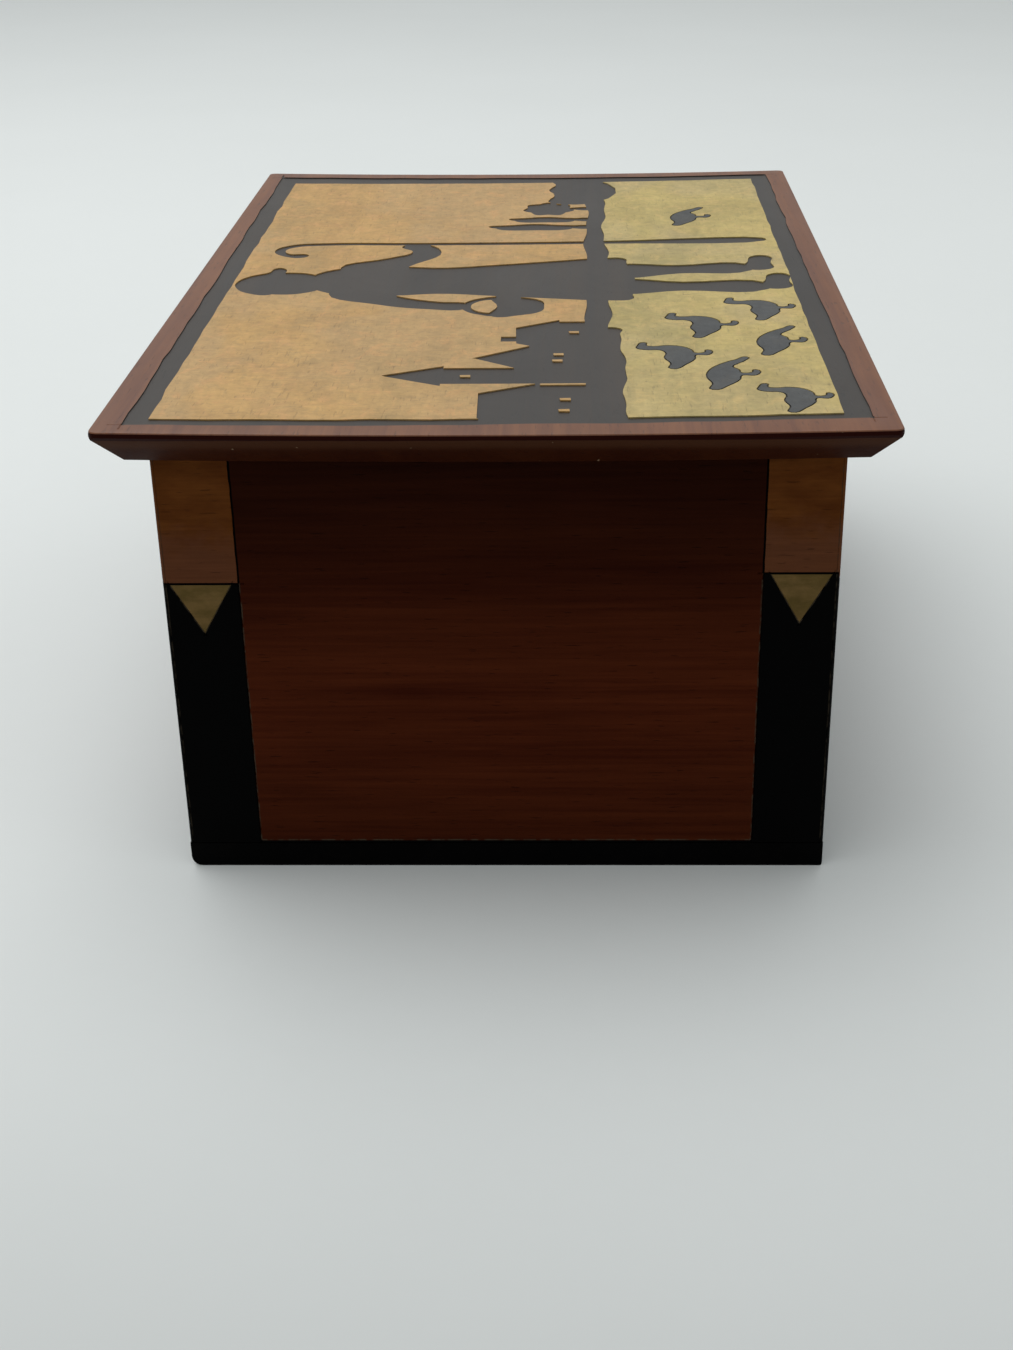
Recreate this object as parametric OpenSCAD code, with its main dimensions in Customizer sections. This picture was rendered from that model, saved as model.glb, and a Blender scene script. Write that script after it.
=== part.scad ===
// Wooden puzzle box: a bevelled lid on brass hinges, a base that slides
// lengthwise off a secret compartment, and a hidden bolt that locks the lid.
// +X points to the front, -X to the hinges, Y runs along the box, +Z is up.
// The origin is the centre of the underside. Rest pose: lid shut, base shut,
// bolt drawn back.

/* [Box] */
// Depth of the body, from back face to front face
body_d = 134; // [126:1:160]
// Length of the body, from end to end
body_l = 216; // [206:1:260]
// Height from the underside of the base to the rim
body_h = 92; // [90:1:110]
// Thickness of the four walls
wall_t = 8; // [8:0.5:10]

/* [Lid] */
// How far the lid stands out past the walls
lid_overhang = 9; // [8:0.5:12]
// Thickness of the lid
lid_t = 8; // [8:0.5:10]
// Height of the lid's upright edge, above the bevel
lid_edge_h = 1.5; // [1:0.1:2.5]
// How far the bevel runs in under the lid
lid_bevel = 5.4; // [4:0.1:5.6]

/* [Secret compartment] */
// Thickness of the sliding base
base_t = 5.5; // [4.5:0.5:6]
// Height of the secret compartment, from base to false floor
secret_h = 18.5; // [18.5:0.5:22]
// Thickness of the false floor
floor_t = 4; // [3:0.5:5]
// How far the base slides
base_travel = 60; // [40:5:64]

/* [Lock] */
// How far the bolt slides
lock_travel = 8; // [6:0.5:8]
// Thickness of the false lining in front of the bolt
lining_t = 3; // [2.5:0.5:4]
// Width of the space that the bolt slides in
lock_space = 4; // [4:0.1:5]

/* [Hinges] */
// Length of each hinge
hinge_l = 25; // [22:1:32]
// Distance of each hinge from the middle of the box
hinge_y = 70; // [55:1:75]
// Thickness of the hinge leaves
leaf_t = 1; // [0.9:0.1:1.2]

/* [Hidden] */
$fn = 48;

// Colours of the finishes
mahogany = [0.42, 0.17, 0.10];
ebony = [0.07, 0.06, 0.06];
pale_wood = [0.78, 0.62, 0.42];
beech = [0.70, 0.50, 0.32];
brass = [0.78, 0.60, 0.28];

// Half sizes and levels of the body
half_d = body_d / 2;
half_l = body_l / 2;
inner_x = half_d - wall_t;
inner_y = half_l - wall_t;
slide_gap = 0.2;
wall_z = base_t + slide_gap;
floor_z = base_t + secret_h;
floor_top = floor_z + floor_t;
groove_depth = 3;
eps = 0.5;

// Lid
lid_x = half_d + lid_overhang;
lid_y = half_l + lid_overhang;
lid_bevel_h = lid_t - lid_edge_h;

// Sliding base: an L-shaped rail on each long side
rail_web_t = 3.7;
rail_gap = 0.3;
rail_flange_t = 2.8;
rail_flange_z = 9.4;
rail_top = rail_flange_z + rail_flange_t;
rail_outer = inner_x + groove_depth - rail_gap;
rail_web_x = inner_x - rail_gap - rail_web_t;
rail_y0 = -inner_y + rail_gap;
rail_y1 = inner_y - rail_gap - base_travel;
rail_l = rail_y1 - rail_y0;
rail_screw_r = 1;
rail_screw_head_r = 2;
rail_screw_l = 10;
rail_screw_x = rail_web_x + rail_web_t / 2;
rail_screw_y = [for (i = [0:2]) rail_y0 + rail_l * (0.1 + 0.4 * i)];

// Bolt: a beam with a stem down to its peg and a hook up to the keeper
lock_x1 = inner_x;
lock_x0 = inner_x - lock_space;
bolt_clear = 0.4;
bolt_x = [lock_x0 + bolt_clear, lock_x1 - bolt_clear];
beam_h = 8;
beam_z = body_h - 30;
beam_top = beam_z + beam_h;
stem_w = 20;
stem_y = -inner_y + 16;
stem_z = rail_top + 1.8;
hook_t = 1.8;
hook_x = [lock_x0 + 1.2, lock_x0 + 1.2 + hook_t];
hook_y = -16;
hook_w = 8;
hook_tip = 0.2;
nose_z = body_h - 12.4;
nose_h = 4;
beam_y = [stem_y, 8];
tenon_h = 5;
peg_z = floor_z - 5.5;
peg_y = stem_y + stem_w / 2;
peg_r = 2;
peg_tenon_r = 1.5;
peg_collar_r = 3;
peg_l = 8;

// Guides that hold the beam, broken where the stem and hook pass
guide_h = 5;
guide_gap = 0.3;
guide_stop = 0.4;
guide_end = 60;
guide_x = [lock_x0 + 0.2, lock_x1];

// Cap over the bolt's space, and the keeper that drops through it
cap_t = 3;
cap_drop = 1;
cap_z = body_h - cap_drop - cap_t;
keeper_t = 1.8;
keeper_x = [lock_x0 + 0.6, lock_x0 + 0.6 + keeper_t];
keeper_plate_t = 1.2;
keeper_plate_x = [lock_x0 - 2.4, lock_x0 + 3.4];
keeper_plate_y = [-10, 28];
foot_z = body_h - 16;
foot_h = 3;
foot_y = [1, 16];
tongue_y = 10;
keeper_screw_y = [-5.5, 23];
small_screw_r = 0.9;
small_screw_head_r = 1.7;
keeper_screw_l = 5;

// Hinges: the pin lies just outside the back wall, level with the rim
pin_x = -half_d - 1;
pin_z = body_h;
pin_r = 0.8;
pin_play = 0.05;
knuckle_r = 1.75;
knuckle_play = 0.35;
knuckle_w = 8.4;
knuckle_gap = 0.2;
pin_head_t = 0.6;
pin_head_r = 1.4;
leaf_gap = 0.05;
leaf_x0 = pin_x + 2;
leaf_x1 = -inner_x - 0.5;
hinge_screw_x = (leaf_x0 + leaf_x1) / 2;
hinge_screw_y = 7.5;
hinge_screw_l = 5.5;

// A box between two corners given as ranges along each axis
module block(x, y, z) {
    translate([x[0], y[0], z[0]])
        cube([x[1] - x[0], y[1] - y[0], z[1] - z[0]]);
}

// Countersunk screw, its head's face at the origin and its point at -Z
module screw(r, head_r, length) {
    head_h = head_r - r;
    tip_h = 2 * r;
    difference() {
        union() {
            translate([0, 0, -head_h])
                cylinder(h = head_h, r1 = r, r2 = head_r);
            translate([0, 0, tip_h - length])
                cylinder(h = length - tip_h - head_h, r = r);
            translate([0, 0, -length])
                cylinder(h = tip_h, r1 = 0.15, r2 = r);
        }
        block([-head_r, head_r], [-0.25, 0.25], [-0.4, 1]);
    }
}

// Hole for that screw, a little wider all round
module screw_hole(r, head_r, length) {
    play = 0.05;
    head_h = head_r - r;
    translate([0, 0, -head_h - play])
        cylinder(h = head_h + play, r1 = r, r2 = head_r + play);
    cylinder(h = 2, r = head_r + play);
    translate([0, 0, -length - play])
        cylinder(h = length + play, r = r + play);
}

// Wall board with mitred ends: half_len is the outer half length, face the
// distance from the middle of the box to the outer face, along +Y
module mitred_board(half_len, face) {
    translate([0, 0, wall_z])
        linear_extrude(height = body_h - wall_z)
            polygon([
                [-half_len, face],
                [half_len, face],
                [half_len - wall_t, face - wall_t],
                [-half_len + wall_t, face - wall_t]
            ]);
}

// Space of the false floor, which all four boards are grooved for
module floor_board() {
    block(
        [-inner_x - groove_depth, inner_x + groove_depth],
        [-inner_y - groove_depth, inner_y + groove_depth],
        [floor_z, floor_top]
    );
}

// Groove for the rail of the sliding base, on the +X side
module rail_groove() {
    block(
        [inner_x - eps, inner_x + groove_depth],
        [-inner_y, inner_y],
        [rail_flange_z - slide_gap, rail_top + slide_gap]
    );
}

module end_board() {
    color(mahogany)
        difference() {
            mitred_board(half_d, half_l);
            floor_board();
        }
}

module left_end_board() {
    mirror([0, 1, 0]) end_board();
}

module right_end_board() {
    end_board();
}

module side_board() {
    difference() {
        rotate([0, 0, -90]) mitred_board(half_l, half_d);
        floor_board();
        rail_groove();
    }
}

module front_board() {
    color(mahogany) side_board();
}

module back_board() {
    color(mahogany)
        difference() {
            mirror([1, 0, 0]) side_board();
            for (side = [-1, 1])
                translate([0, side * hinge_y, 0]) hinge_recess(-1);
        }
}

module false_floor() {
    slot_play = 0.6;
    color(pale_wood)
        difference() {
            floor_board();
            block(
                [lock_x0, lock_x1],
                [stem_y - slot_play, stem_y + stem_w + lock_travel + slot_play],
                [floor_z - eps, floor_top + eps]
            );
        }
}

module front_lining() {
    color(pale_wood)
        block([lock_x0 - lining_t, lock_x0], [-inner_y, inner_y], [floor_top, cap_z]);
}

module lock_cap() {
    slot_play = 1.4;
    color(pale_wood)
        difference() {
            block(
                [lock_x0 - lining_t, lock_x1],
                [-inner_y, inner_y],
                [cap_z, cap_z + cap_t]
            );
            block(
                [lock_x0 + 0.2, lock_x1 - 0.2],
                [foot_y[0] - slot_play, foot_y[1] + slot_play],
                [cap_z - eps, cap_z + cap_t + eps]
            );
        }
}

// Two guide strips at one level, with a gap for what passes between them
module guide_pair(gap_y, z0) {
    color(beech) {
        block(guide_x, [-inner_y, gap_y[0] - guide_stop], [z0, z0 + guide_h]);
        block(guide_x, [gap_y[1] + guide_stop, guide_end], [z0, z0 + guide_h]);
    }
}

module upper_lock_guides() {
    guide_pair([hook_y, hook_y + hook_w + lock_travel], beam_top + guide_gap);
}

module lower_lock_guides() {
    guide_pair(
        [stem_y, stem_y + stem_w + lock_travel],
        beam_z - guide_gap - guide_h
    );
}

// Tenon of the stem, which the beam is morticed for
module stem_tenon() {
    block(hook_x, [stem_y + 4, stem_y + stem_w - 4], [beam_z - eps, beam_z + tenon_h]);
}

// Foot of the brass hook, which the beam is slotted for
module hook_foot() {
    block(hook_x, [hook_y, hook_y + hook_w], [beam_top - tenon_h, beam_top + eps]);
}

module lock_beam() {
    color(beech)
        difference() {
            block(bolt_x, beam_y, [beam_z, beam_top]);
            stem_tenon();
            hook_foot();
        }
}

module lock_stem() {
    color(beech)
        difference() {
            union() {
                block(bolt_x, [stem_y, stem_y + stem_w], [stem_z, beam_z]);
                stem_tenon();
            }
            translate([bolt_x[0] - eps, peg_y, peg_z])
                rotate([0, 90, 0])
                    cylinder(h = lock_space + 2 * eps, r = peg_tenon_r + pin_play);
        }
}

module lock_hook() {
    color(brass) {
        union() {
            hook_foot();
            block(hook_x, [hook_y, hook_y + hook_w], [beam_top, nose_z + nose_h]);
            block(hook_x, [hook_y, hook_tip], [nose_z, nose_z + nose_h]);
        }
    }
}

// Turned thumb peg: tenon in the stem, collar, waist and rounded end
module lock_peg() {
    collar_t = 1.6;
    tenon_l = bolt_x[1] - bolt_x[0];
    color(beech)
        translate([bolt_x[0], peg_y, peg_z])
            rotate([0, -90, 0]) {
                translate([0, 0, -tenon_l]) cylinder(h = tenon_l, r = peg_tenon_r);
                cylinder(h = collar_t, r = peg_collar_r);
                translate([0, 0, collar_t]) cylinder(h = peg_l - collar_t, r = peg_r);
                translate([0, 0, peg_l]) sphere(r = peg_r);
            }
}

// Cross-section of the lid: upright edge over a bevel, half width w
module lid_section(w) {
    polygon([
        [-w, lid_t],
        [-w, lid_bevel_h],
        [lid_bevel - w, 0],
        [w - lid_bevel, 0],
        [w, lid_bevel_h],
        [w, lid_t]
    ]);
}

module lid_blank() {
    translate([0, 0, body_h])
        intersection() {
            translate([0, lid_y, 0])
                rotate([90, 0, 0])
                    linear_extrude(height = 2 * lid_y) lid_section(lid_x);
            translate([-lid_x, 0, 0])
                rotate([90, 0, 90])
                    linear_extrude(height = 2 * lid_x) lid_section(lid_y);
        }
}

module lid_board() {
    color(mahogany)
        difference() {
            lid_blank();
            for (side = [-1, 1])
                translate([0, side * hinge_y, 0]) hinge_recess(1);
            block(
                keeper_plate_x,
                keeper_plate_y,
                [body_h - eps, body_h + keeper_plate_t]
            );
            place_keeper_screws() screw_hole(small_screw_r, small_screw_head_r, keeper_screw_l);
        }
}

// Puts a screw at each hole of the keeper, pointing up into the lid
module place_keeper_screws() {
    x = (keeper_plate_x[0] + keeper_plate_x[1]) / 2;
    for (y = keeper_screw_y)
        translate([x, y, body_h + 0.1]) mirror([0, 0, 1]) children();
}

module lid_keeper() {
    color(brass)
        difference() {
            union() {
                block(
                    keeper_plate_x,
                    keeper_plate_y,
                    [body_h, body_h + keeper_plate_t]
                );
                block(keeper_x, [tongue_y, foot_y[1]], [foot_z, body_h + keeper_plate_t]);
                block(keeper_x, foot_y, [foot_z, foot_z + foot_h]);
            }
            place_keeper_screws() screw_hole(small_screw_r, small_screw_head_r, keeper_screw_l);
        }
}

module keeper_screws() {
    color(brass)
        place_keeper_screws() screw(small_screw_r, small_screw_head_r, keeper_screw_l);
}

// Round bar along Y on the hinge's axis, from y0 to y1
module axis_bar(r, y0, y1) {
    translate([pin_x, y1, pin_z])
        rotate([90, 0, 0]) cylinder(h = y1 - y0, r = r);
}

// Room for one hinge: side is 1 in the lid and -1 in the back wall
module hinge_recess(side) {
    head_room = hinge_l / 2 + pin_head_t + 0.4;
    deep = leaf_t + leaf_gap;
    axis_bar(knuckle_r + knuckle_play, -head_room, head_room);
    block(
        [pin_x, leaf_x1],
        [-hinge_l / 2, hinge_l / 2],
        side > 0 ? [body_h - eps, body_h + deep] : [body_h - deep, body_h + eps]
    );
    place_leaf_screws(side) screw_hole(small_screw_r, small_screw_head_r, hinge_screw_l);
}

// Puts a screw at each hole of one leaf, pointing into the wood
module place_leaf_screws(side) {
    for (y = [-hinge_screw_y, hinge_screw_y])
        translate([hinge_screw_x, y, body_h + side * (leaf_gap + 0.1)])
            mirror([0, 0, side > 0 ? 1 : 0]) children();
}

// One leaf with its knuckles, as a list of ranges along Y
module leaf(side, knuckles) {
    z = side > 0
        ? [body_h + leaf_gap, body_h + leaf_gap + leaf_t]
        : [body_h - leaf_gap - leaf_t, body_h - leaf_gap];
    color(brass)
        difference() {
            union() {
                block([leaf_x0, leaf_x1], [-hinge_l / 2, hinge_l / 2], z);
                for (k = knuckles) {
                    axis_bar(knuckle_r, k[0], k[1]);
                    block([pin_x, leaf_x0 + eps], k, z);
                }
            }
            axis_bar(pin_r + pin_play, -hinge_l, hinge_l);
            place_leaf_screws(side) screw_hole(small_screw_r, small_screw_head_r, hinge_screw_l);
        }
}

module body_leaf() {
    inner = knuckle_w / 2 + knuckle_gap;
    leaf(-1, [[-hinge_l / 2, -inner], [inner, hinge_l / 2]]);
}

module lid_leaf() {
    leaf(1, [[-knuckle_w / 2, knuckle_w / 2]]);
}

module hinge_pin() {
    color(brass) {
        axis_bar(pin_r, -hinge_l / 2, hinge_l / 2);
        axis_bar(pin_head_r, -hinge_l / 2 - pin_head_t, -hinge_l / 2);
        axis_bar(pin_head_r, hinge_l / 2, hinge_l / 2 + pin_head_t);
    }
}

module left_hinge_body_leaf() {
    translate([0, -hinge_y, 0]) body_leaf();
}

module left_hinge_lid_leaf() {
    translate([0, -hinge_y, 0]) lid_leaf();
}

module left_hinge_pin() {
    translate([0, -hinge_y, 0]) hinge_pin();
}

module right_hinge_body_leaf() {
    translate([0, hinge_y, 0]) body_leaf();
}

module right_hinge_lid_leaf() {
    translate([0, hinge_y, 0]) lid_leaf();
}

module right_hinge_pin() {
    translate([0, hinge_y, 0]) hinge_pin();
}

// All the screws of the leaves on one side
module leaf_screws(side) {
    color(brass)
        for (at = [-1, 1])
            translate([0, at * hinge_y, 0])
                place_leaf_screws(side)
                    screw(small_screw_r, small_screw_head_r, hinge_screw_l);
}

module hinge_body_screws() {
    leaf_screws(-1);
}

module hinge_lid_screws() {
    leaf_screws(1);
}

// Puts a screw at each hole of both rails, pointing up from the underside
module place_rail_screws() {
    for (side = [-1, 1])
        for (y = rail_screw_y)
            translate([side * rail_screw_x, y, 0.2]) mirror([0, 0, 1]) children();
}

module base_board() {
    color(ebony)
        difference() {
            block([-half_d, half_d], [-half_l, half_l], [0, base_t]);
            place_rail_screws() screw_hole(rail_screw_r, rail_screw_head_r, rail_screw_l);
        }
}

// L-shaped rail on the +X side, its flange running in the wall's groove
module base_rail() {
    difference() {
        union() {
            block(
                [rail_web_x, rail_web_x + rail_web_t],
                [rail_y0, rail_y1],
                [base_t, rail_top]
            );
            block([rail_web_x, rail_outer], [rail_y0, rail_y1], [rail_flange_z, rail_top]);
        }
        place_rail_screws() screw_hole(rail_screw_r, rail_screw_head_r, rail_screw_l);
    }
}

module front_base_rail() {
    color(beech) base_rail();
}

module back_base_rail() {
    color(beech) mirror([1, 0, 0]) base_rail();
}

module rail_screws() {
    color(brass)
        place_rail_screws() screw(rail_screw_r, rail_screw_head_r, rail_screw_l);
}

left_end_board();
right_end_board();
front_board();
back_board();
false_floor();
front_lining();
lock_cap();
upper_lock_guides();
lower_lock_guides();
lock_beam();
lock_stem();
lock_hook();
lock_peg();
lid_board();
lid_keeper();
keeper_screws();
left_hinge_body_leaf();
left_hinge_lid_leaf();
left_hinge_pin();
right_hinge_body_leaf();
right_hinge_lid_leaf();
right_hinge_pin();
hinge_body_screws();
hinge_lid_screws();
base_board();
front_base_rail();
back_base_rail();
rail_screws();
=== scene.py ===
"""Visual model of a wooden puzzle box, dressed round its CAD frame.

The carcass is mahogany-stained wood with ebonised corner posts, tan post
heads and pale triangles, all marked off by incised lines. The bevelled lid
carries an incised and stained landscape. Inside are pale boards, a beech
bolt and brass fittings.
"""

import logging
import math
import random
from dataclasses import dataclass, field
from enum import Enum
from typing import Any, Callable, Iterable, Optional, Sequence, Union

import bmesh
import bpy
from mathutils import Matrix, Vector


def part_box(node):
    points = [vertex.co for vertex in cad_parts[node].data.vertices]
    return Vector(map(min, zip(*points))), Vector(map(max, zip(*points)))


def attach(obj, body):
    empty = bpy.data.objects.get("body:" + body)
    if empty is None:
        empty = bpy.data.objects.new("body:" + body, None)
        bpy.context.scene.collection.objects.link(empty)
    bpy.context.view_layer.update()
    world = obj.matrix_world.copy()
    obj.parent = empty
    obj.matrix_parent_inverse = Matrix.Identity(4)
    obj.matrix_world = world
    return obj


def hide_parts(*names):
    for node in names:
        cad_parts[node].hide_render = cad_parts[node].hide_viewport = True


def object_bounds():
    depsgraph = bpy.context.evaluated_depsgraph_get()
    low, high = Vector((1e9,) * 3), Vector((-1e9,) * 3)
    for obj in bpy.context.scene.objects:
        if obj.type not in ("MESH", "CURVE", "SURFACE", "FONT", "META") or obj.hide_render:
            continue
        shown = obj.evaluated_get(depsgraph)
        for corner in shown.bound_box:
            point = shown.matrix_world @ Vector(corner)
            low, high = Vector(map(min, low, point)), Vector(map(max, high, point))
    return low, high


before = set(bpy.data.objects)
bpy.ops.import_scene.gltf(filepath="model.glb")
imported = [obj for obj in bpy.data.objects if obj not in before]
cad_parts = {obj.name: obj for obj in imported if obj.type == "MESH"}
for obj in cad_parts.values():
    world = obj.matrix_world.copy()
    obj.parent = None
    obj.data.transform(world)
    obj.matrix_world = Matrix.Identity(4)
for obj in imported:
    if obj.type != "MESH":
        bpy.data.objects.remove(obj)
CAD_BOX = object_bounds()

LOG = logging.getLogger("puzzle_box")
MM = 0.001
Point2 = tuple[float, float]
Colour = tuple[float, float, float]


class Axis(Enum):
    """A row axis, by its number."""

    X = 0
    Y = 1
    Z = 2


# --------------------------------------------------------------------------
# Shader maths


class Wire:
    """One shader socket that takes part in Python expressions."""

    def __init__(self, graph: "Graph", socket: bpy.types.NodeSocket) -> None:
        """Wrap a socket of a graph.

        Args:
            graph: the graph that holds the socket's node.
            socket: the output socket.
        """
        self.graph = graph
        self.socket = socket

    def _math(self, operation: str, *values: "Value") -> "Wire":
        """Add a Math node.

        Args:
            operation: the node's operation.
            values: its inputs, in order.

        Returns:
            The node's result.
        """
        return self.graph.node(
            "ShaderNodeMath", {"operation": operation}, dict(enumerate(values))
        )

    def __add__(self, other: "Value") -> "Wire":
        """Sum."""
        return self._math("ADD", self, other)

    __radd__ = __add__

    def __sub__(self, other: "Value") -> "Wire":
        """Difference."""
        return self._math("SUBTRACT", self, other)

    def __rsub__(self, other: "Value") -> "Wire":
        """Difference from a number."""
        return self._math("SUBTRACT", other, self)

    def __mul__(self, other: "Value") -> "Wire":
        """Product."""
        return self._math("MULTIPLY", self, other)

    __rmul__ = __mul__

    def __truediv__(self, other: "Value") -> "Wire":
        """Quotient."""
        return self._math("DIVIDE", self, other)

    def __abs__(self) -> "Wire":
        """Absolute value."""
        return self._math("ABSOLUTE", self)

    def above(self, other: "Value") -> "Wire":
        """1 where this is greater than the other, else 0."""
        return self._math("GREATER_THAN", self, other)

    def below(self, other: "Value") -> "Wire":
        """1 where this is less than the other, else 0."""
        return self._math("LESS_THAN", self, other)

    def most(self, other: "Value") -> "Wire":
        """The larger of the two."""
        return self._math("MAXIMUM", self, other)

    def rise(self, low: "Value", high: "Value") -> "Wire":
        """Smooth step from 0 at low to 1 at high."""
        return self.graph.node(
            "ShaderNodeMapRange",
            {"interpolation_type": "SMOOTHSTEP"},
            {0: self, 1: low, 2: high},
        )


Value = Union[Wire, float, Sequence[float]]


class Graph:
    """The node tree of one material, ending in one Principled shader."""

    def __init__(self, name: str, **constants: Any) -> None:
        """Make an empty material.

        Args:
            name: the material's name.
            constants: values for the shader's own sockets, with underscores
                for the spaces of their names.
        """
        self.material = bpy.data.materials.new(name)
        self.material.use_nodes = True
        self.tree = self.material.node_tree
        self.tree.nodes.clear()
        self.shader = self.tree.nodes.new("ShaderNodeBsdfPrincipled")
        output = self.tree.nodes.new("ShaderNodeOutputMaterial")
        self.tree.links.new(self.shader.outputs[0], output.inputs["Surface"])
        for key, value in constants.items():
            self.shader.inputs[key.replace("_", " ")].default_value = value

    def node(
        self,
        kind: str,
        settings: Optional[dict[str, Any]] = None,
        inputs: Optional[dict[Union[int, str], Value]] = None,
        out: Union[int, str] = 0,
    ) -> Wire:
        """Add any node.

        Args:
            kind: the node's type.
            settings: its properties, set first; stops fills a ramp.
            inputs: values or wires for its sockets, by name or number.
            out: the output that is wanted.

        Returns:
            That output.
        """
        node = self.tree.nodes.new(kind)
        for key, value in (settings or {}).items():
            if key == "stops":
                self._fill_ramp(node.color_ramp, value)
            else:
                setattr(node, key, value)
        for key, value in (inputs or {}).items():
            if isinstance(value, Wire):
                self.tree.links.new(value.socket, node.inputs[key])
            else:
                node.inputs[key].default_value = value
        return Wire(self, node.outputs[out])

    @staticmethod
    def _fill_ramp(ramp: bpy.types.ColorRamp, stops: Sequence[tuple[float, Colour]]) -> None:
        """Give a colour ramp its stops.

        Args:
            ramp: the ramp.
            stops: positions and colours, in order.
        """
        while len(ramp.elements) < len(stops):
            ramp.elements.new(0.5)
        for element, (place, colour) in zip(ramp.elements, stops):
            element.position = place
            element.color = (*colour, 1.0)

    def place(self) -> Wire:
        """The point's position on the piece, in metres."""
        return self.node("ShaderNodeTexCoord", out="Object")

    def split(self, vector: Wire) -> tuple[Wire, Wire, Wire]:
        """The three parts of a vector."""
        first = self.node("ShaderNodeSeparateXYZ", {}, {0: vector}, 0)
        node = first.socket.node
        return first, Wire(self, node.outputs[1]), Wire(self, node.outputs[2])

    def stretch(self, vector: Wire, scale: Sequence[float], shift: Sequence[float] = (0, 0, 0)) -> Wire:
        """Scale a position along each axis.

        Args:
            vector: the position.
            scale: repeats per metre along each axis.
            shift: what is added afterwards.

        Returns:
            The scaled position.
        """
        return self.node(
            "ShaderNodeMapping", {}, {"Vector": vector, "Scale": scale, "Location": shift}
        )

    def noise(self, vector: Wire, detail: float = 3.0, rough: float = 0.55, warp: float = 0.0) -> Wire:
        """Cloudy noise between 0 and 1.

        Args:
            vector: where it is read, already scaled.
            detail: how many finer layers it has.
            rough: how strong the finer layers are.
            warp: how far it is distorted.

        Returns:
            Its value.
        """
        return self.node(
            "ShaderNodeTexNoise",
            {"noise_dimensions": "3D"},
            {
                "Vector": vector,
                "Scale": 1.0,
                "Detail": detail,
                "Roughness": rough,
                "Distortion": warp,
            },
        )

    def mix(self, factor: Value, low: Value, high: Value, blend: str = "MIX") -> Wire:
        """Blend two colours.

        Args:
            factor: 0 for the first, 1 for the second.
            low: the first colour.
            high: the second colour.
            blend: the blend type.

        Returns:
            The blended colour.
        """
        if not isinstance(low, Wire):
            low = (*low, 1.0)
        if not isinstance(high, Wire):
            high = (*high, 1.0)
        return self.node(
            "ShaderNodeMix",
            {"data_type": "RGBA", "blend_type": blend},
            {0: factor, 6: low, 7: high},
            2,
        )

    def tone(self, colour: Wire, factor: Wire) -> Wire:
        """Brighten or darken a colour by a varying factor."""
        return self.node(
            "ShaderNodeVectorMath", {"operation": "SCALE"}, {0: colour, 3: factor}
        )

    def finish(
        self, colour: Wire, rough: Wire, height: Optional[Wire], depth: float
    ) -> bpy.types.Material:
        """Join the results to the shader.

        Args:
            colour: the base colour.
            rough: the roughness.
            height: the relief, 0 to 1, or None.
            depth: the relief's depth, in metres.

        Returns:
            The material.
        """
        self.tree.links.new(colour.socket, self.shader.inputs["Base Color"])
        self.tree.links.new(rough.socket, self.shader.inputs["Roughness"])
        if height is not None:
            bump = self.node(
                "ShaderNodeBump", {}, {"Strength": 1.0, "Distance": depth, "Height": height}
            )
            self.tree.links.new(bump.socket, self.shader.inputs["Normal"])
        return self.material


# --------------------------------------------------------------------------
# Finishes


@dataclass(frozen=True)
class Grain:
    """The figure of a piece of wood."""

    axis: Axis
    seed: float = 0.0
    streak: float = 900.0
    slow: float = 26.0

    def scale(self, across: float, along: float) -> tuple[float, float, float]:
        """Repeats per metre: along the grain's axis, and across it."""
        values = [across, across, across]
        values[self.axis.value] = along
        return tuple(values)

    def read(self, graph: Graph, place: Wire) -> tuple[Wire, Wire, Wire, Wire]:
        """Build the figure.

        Args:
            graph: the material's graph.
            place: the position on the piece.

        Returns:
            Fine streaks, broad bands, blotches and short dark flecks.
        """
        shift = (self.seed, self.seed * 1.7, self.seed * 2.3)
        streaks = graph.noise(graph.stretch(place, self.scale(self.streak, self.slow), shift), 5.0, 0.6, 0.4)
        bands = graph.noise(graph.stretch(place, self.scale(95.0, 5.0), shift), 4.0, 0.55, 0.8)
        blotch = graph.noise(graph.stretch(place, self.scale(42.0, 24.0), shift), 4.0, 0.6, 0.6)
        dots = graph.noise(graph.stretch(place, self.scale(2300.0, 240.0), shift), 1.0, 0.4)
        flecks = dots.rise(0.66, 0.74)
        return streaks, bands, blotch, flecks


@dataclass(frozen=True)
class BareWood:
    """Unstained wood, planed and waxed."""

    name: str
    grain: Grain
    pale: Colour
    deep: Colour

    def make(self) -> bpy.types.Material:
        """Build the material."""
        graph = Graph(self.name, Specular_IOR_Level=0.35)
        streaks, bands, blotch, flecks = self.grain.read(graph, graph.place())
        colour = graph.mix((streaks * 0.5 + bands * 0.7 - 0.1).rise(0.2, 0.85), self.deep, self.pale)
        colour = graph.tone(colour, 1.08 - blotch * 0.22 - flecks * 0.25)
        rough = 0.52 + streaks * 0.16
        height = streaks * 0.6 - flecks * 0.5
        return graph.finish(colour, rough, height, 0.05 * MM)


@dataclass(frozen=True)
class Brass:
    """Old brass, dulled by handling."""

    name: str

    def make(self) -> bpy.types.Material:
        """Build the material."""
        graph = Graph(self.name, Metallic=1.0)
        place = graph.place()
        cloud = graph.noise(graph.stretch(place, (260.0, 260.0, 260.0)), 4.0)
        scratch = graph.noise(graph.stretch(place, (4200.0, 500.0, 4200.0)), 2.0)
        colour = graph.mix(cloud.rise(0.35, 0.7), (0.40, 0.27, 0.115), (0.66, 0.47, 0.20))
        rough = 0.30 + cloud * 0.22 + scratch * 0.1
        return graph.finish(colour, rough, scratch, 0.01 * MM)


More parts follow.
